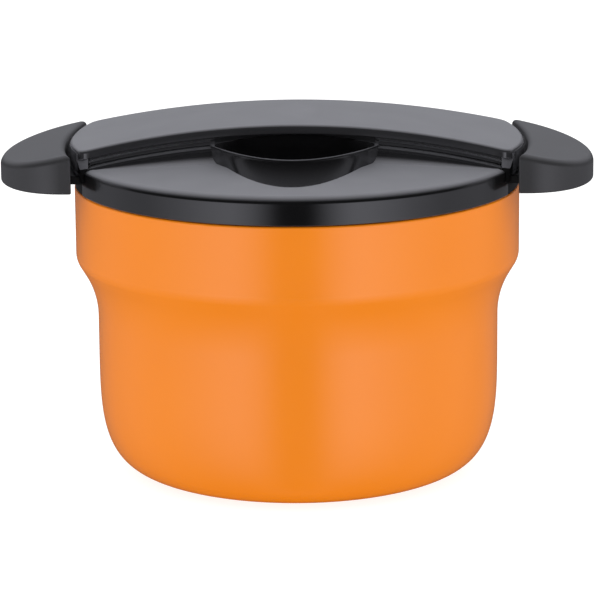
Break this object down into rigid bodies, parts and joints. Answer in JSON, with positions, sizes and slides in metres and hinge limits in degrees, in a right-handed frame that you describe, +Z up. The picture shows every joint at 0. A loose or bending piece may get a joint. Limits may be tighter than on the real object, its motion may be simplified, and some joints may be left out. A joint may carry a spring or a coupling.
{
  "type": "thermal cooker",
  "caption": "Vacuum-insulated cooking vessel with a stepped round body, two side handles, a lift-off lid with a full-width grip bar and a lidded inner pot.",
  "frame": {"origin": "centre of the foot ring, on the table", "axes": "+Z up; +X along the side handles and the grip bar; -Y is the front"},
  "size_m": [0.2728, 0.206, 0.1674],
  "materials": {
    "orange_paint": "satin-gloss baked paint",
    "stainless_steel": "fine brushed",
    "copper": "bright foil",
    "getter_metal": "dull",
    "lid_plastic": "satin",
    "handle_plastic": "fine matte grain",
    "collar_plastic": "matte",
    "dish_plastic": "satin",
    "foam": "open foam"
  },
  "bodies": {
    "vessel": {"outer_shell": "orange_paint", "inner_liner": "stainless_steel", "copper_foil": "copper", "bottom_plate": "stainless_steel", "seal_plug": "getter_metal", "getter": "getter_metal", "base_cover": "collar_plastic", "rim_collar": "collar_plastic", "handle_right": "handle_plastic", "handle_right_base": "handle_plastic", "handle_right_screw_1": "stainless_steel", "handle_right_screw_2": "stainless_steel", "handle_left": "handle_plastic", "handle_left_base": "handle_plastic", "handle_left_screw_1": "stainless_steel", "handle_left_screw_2": "stainless_steel"},
    "pot": {"pot_body": "stainless_steel", "pot_base": "stainless_steel", "pot_bracket_right": "stainless_steel", "pot_handle_right": "stainless_steel", "pot_bracket_left": "stainless_steel", "pot_handle_left": "stainless_steel"},
    "pot_lid": {"pot_lid": "stainless_steel", "pot_lid_knob": "handle_plastic", "knob_washer": "stainless_steel", "knob_screw": "stainless_steel"},
    "outer_lid": {"lid_shell": "lid_plastic", "grip_bar": "lid_plastic", "lid_inner_cover": "dish_plastic", "lid_foam": "foam", "grip_screw_1": "stainless_steel", "grip_screw_2": "stainless_steel", "grip_screw_3": "stainless_steel", "grip_screw_4": "stainless_steel"}
  },
  "joints": [
    {"name": "pot_lift", "type": "slide", "parent": "vessel", "child": "pot", "axis": [0, 0, 1], "range_m": [0, 0.16]},
    {"name": "pot_lid_lift", "type": "slide", "parent": "pot", "child": "pot_lid", "axis": [0, 0, 1], "range_m": [0, 0.1]},
    {"name": "outer_lid_lift", "type": "slide", "parent": "pot_lid", "child": "outer_lid", "axis": [0, 0, 1], "range_m": [0, 0.1]}
  ]
}
